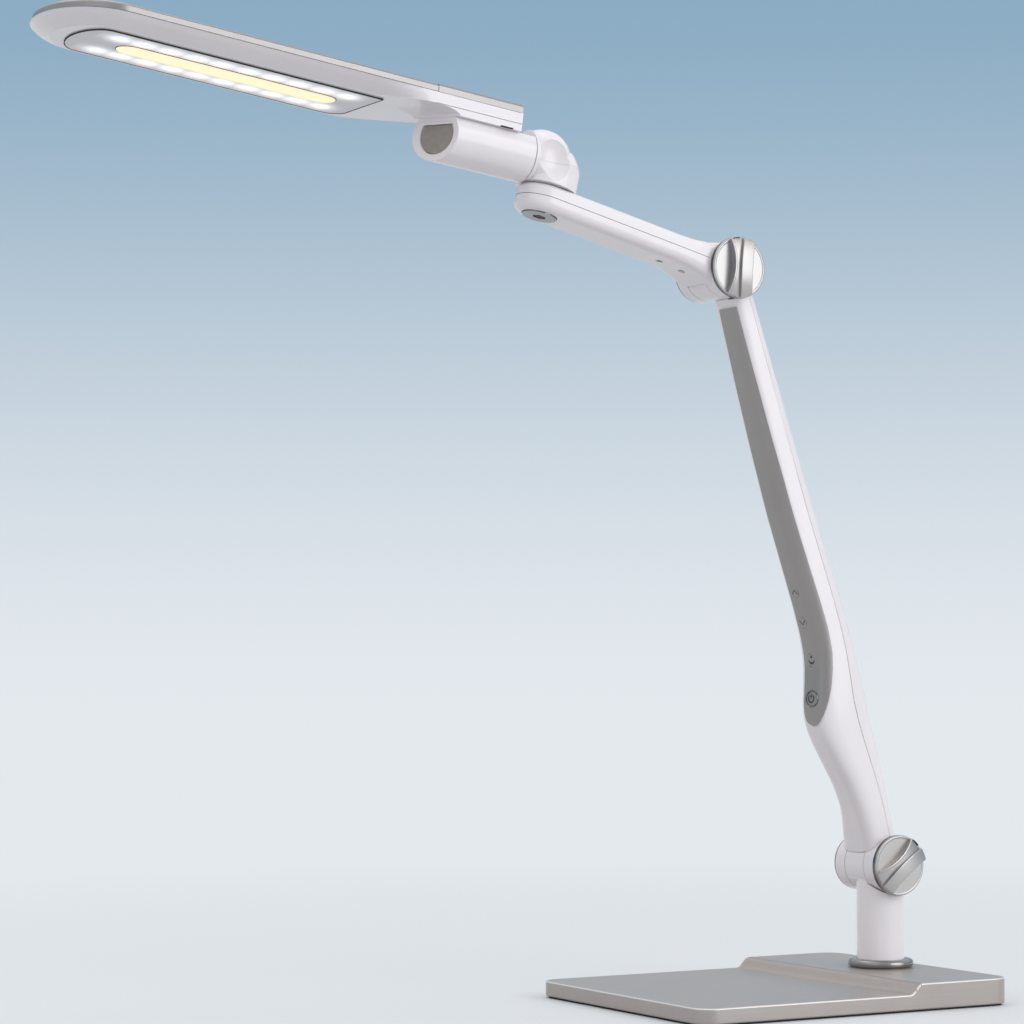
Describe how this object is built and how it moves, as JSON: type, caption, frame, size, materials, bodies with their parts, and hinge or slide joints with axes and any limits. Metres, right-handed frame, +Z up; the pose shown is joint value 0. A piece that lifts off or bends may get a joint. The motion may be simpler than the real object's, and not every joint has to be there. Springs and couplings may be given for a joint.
{
  "type": "desk lamp",
  "caption": "Desk lamp: flat weighted base, swivel column, leaning arm with touch keys, short upper arm and a long flat light head on a knuckle.",
  "frame": {"origin": "on the column's axis, on the surface the base stands on", "axes": "+Z up; the arms and the head reach towards -X; the clamping knobs are on the -Y side"},
  "size_m": [0.6185, 0.195, 0.6073],
  "materials": {
    "white_plastic": "gloss white",
    "white_metal": "gloss white paint",
    "base_silver": "satin silver paint",
    "silver_plastic": "satin silver paint",
    "silver_metal": "satin",
    "chrome": "polished",
    "steel": "zinc plated",
    "brass": "turned",
    "iron": "as cast",
    "rubber": "matt",
    "black_plastic": "matt",
    "board": "solder mask",
    "plate_aluminium": "mill",
    "diffuser_cream": "opal",
    "led_cream": "opal",
    "plug_grey": "matt"
  },
  "bodies": {
    "base": {"base_pad": "rubber", "bottom_plate": "steel", "base_cover": "base_silver", "base_weight": "iron", "base_screws": "steel", "dc_inlet": "black_plastic", "column_collar": "chrome", "swivel_bushing": "brass", "thrust_washer": "brass"},
    "column": {"column_post": "white_metal", "swivel_washer": "steel", "swivel_nut": "steel", "lower_bush": "brass"},
    "lower_arm": {"lower_bolt": "steel", "lower_friction_washers": "steel", "lower_clamp_washer": "steel", "lower_rear_cap": "silver_plastic", "lower_arm_frame": "white_plastic", "lower_arm_front": "white_plastic", "lower_arm_back": "white_plastic", "control_panel": "silver_plastic", "key_switches": "black_plastic", "control_board": "board", "lower_arm_screws": "steel", "elbow_bush": "brass"},
    "lower_knob": {"lower_knob": "silver_metal", "lower_knob_insert": "brass"},
    "power_button": {"power_button": "silver_plastic"},
    "mode_button": {"mode_button": "silver_plastic"},
    "up_key": {"up_key": "silver_plastic"},
    "down_key": {"down_key": "silver_plastic"},
    "upper_arm": {"elbow_bolt": "steel", "elbow_friction_washers": "steel", "elbow_clamp_washer": "steel", "elbow_rear_cap": "silver_plastic", "upper_arm_top": "white_plastic", "upper_arm_bottom": "white_plastic", "upper_arm_screws": "steel", "pivot_bush": "brass", "pivot_washer": "steel"},
    "elbow_knob": {"elbow_knob": "silver_metal", "elbow_knob_insert": "brass"},
    "knuckle": {"knuckle_base": "white_plastic", "knuckle_cover": "white_plastic", "roll_ring": "white_plastic", "pivot_screw": "chrome", "roll_spigot": "steel", "spigot_ring": "steel"},
    "head": {"head_tube": "white_plastic", "tube_plug": "plug_grey", "head_shell": "white_plastic", "head_cover": "silver_plastic", "neck_cover": "silver_plastic", "reflector": "silver_plastic", "diffuser": "diffuser_cream", "led_board": "board", "leds": "led_cream", "heat_plate": "plate_aluminium", "head_screws": "steel"}
  },
  "joints": [
    {"name": "column_swivel", "type": "hinge", "parent": "base", "child": "column", "pos_m": [0, 0, 0], "axis": [0, 0, 1], "range_deg": [-80, 80]},
    {"name": "lower_arm_tilt", "type": "hinge", "parent": "column", "child": "lower_arm", "pos_m": [0, 0, 0.086], "axis": [0, -1, 0], "range_deg": [-15, 30]},
    {"name": "lower_knob_turn", "type": "hinge", "parent": "lower_arm", "child": "lower_knob", "pos_m": [0, 0, 0.086], "axis": [0, 1, 0], "range_deg": [-180, 180]},
    {"name": "power_press", "type": "slide", "parent": "lower_arm", "child": "power_button", "axis": [0.9867, 0.145, -0.0733], "range_m": [0, 0.0005], "stiffness_N_per_m": 800, "springref_m": -0.0005},
    {"name": "mode_press", "type": "slide", "parent": "lower_arm", "child": "mode_button", "axis": [0.9927, 0.0849, 0.086], "range_m": [0, 0.0005], "stiffness_N_per_m": 800, "springref_m": -0.0005},
    {"name": "down_press", "type": "slide", "parent": "lower_arm", "child": "down_key", "axis": [0.9511, 0, 0.309], "range_m": [0, 0.0005], "stiffness_N_per_m": 800, "springref_m": -0.0005},
    {"name": "up_press", "type": "slide", "parent": "lower_arm", "child": "up_key", "axis": [0.9511, 0, 0.309], "range_m": [0, 0.0005], "stiffness_N_per_m": 800, "springref_m": -0.0005},
    {"name": "elbow_tilt", "type": "hinge", "parent": "lower_arm", "child": "upper_arm", "pos_m": [-0.1267, 0, 0.47593], "axis": [0, 1, 0], "range_deg": [-50, 40]},
    {"name": "elbow_knob_turn", "type": "hinge", "parent": "upper_arm", "child": "elbow_knob", "pos_m": [-0.1267, 0, 0.47593], "axis": [0, 1, 0], "range_deg": [-180, 180]},
    {"name": "head_swivel", "type": "hinge", "parent": "upper_arm", "child": "knuckle", "pos_m": [-0.26236, 0, 0.51051], "axis": [0.247, 0, 0.969], "range_deg": [-90, 90]},
    {"name": "head_roll", "type": "hinge", "parent": "knuckle", "child": "head", "pos_m": [-0.25581, 0, 0.53619], "axis": [-0.9912, 0, 0.1323], "range_deg": [-90, 90]}
  ]
}
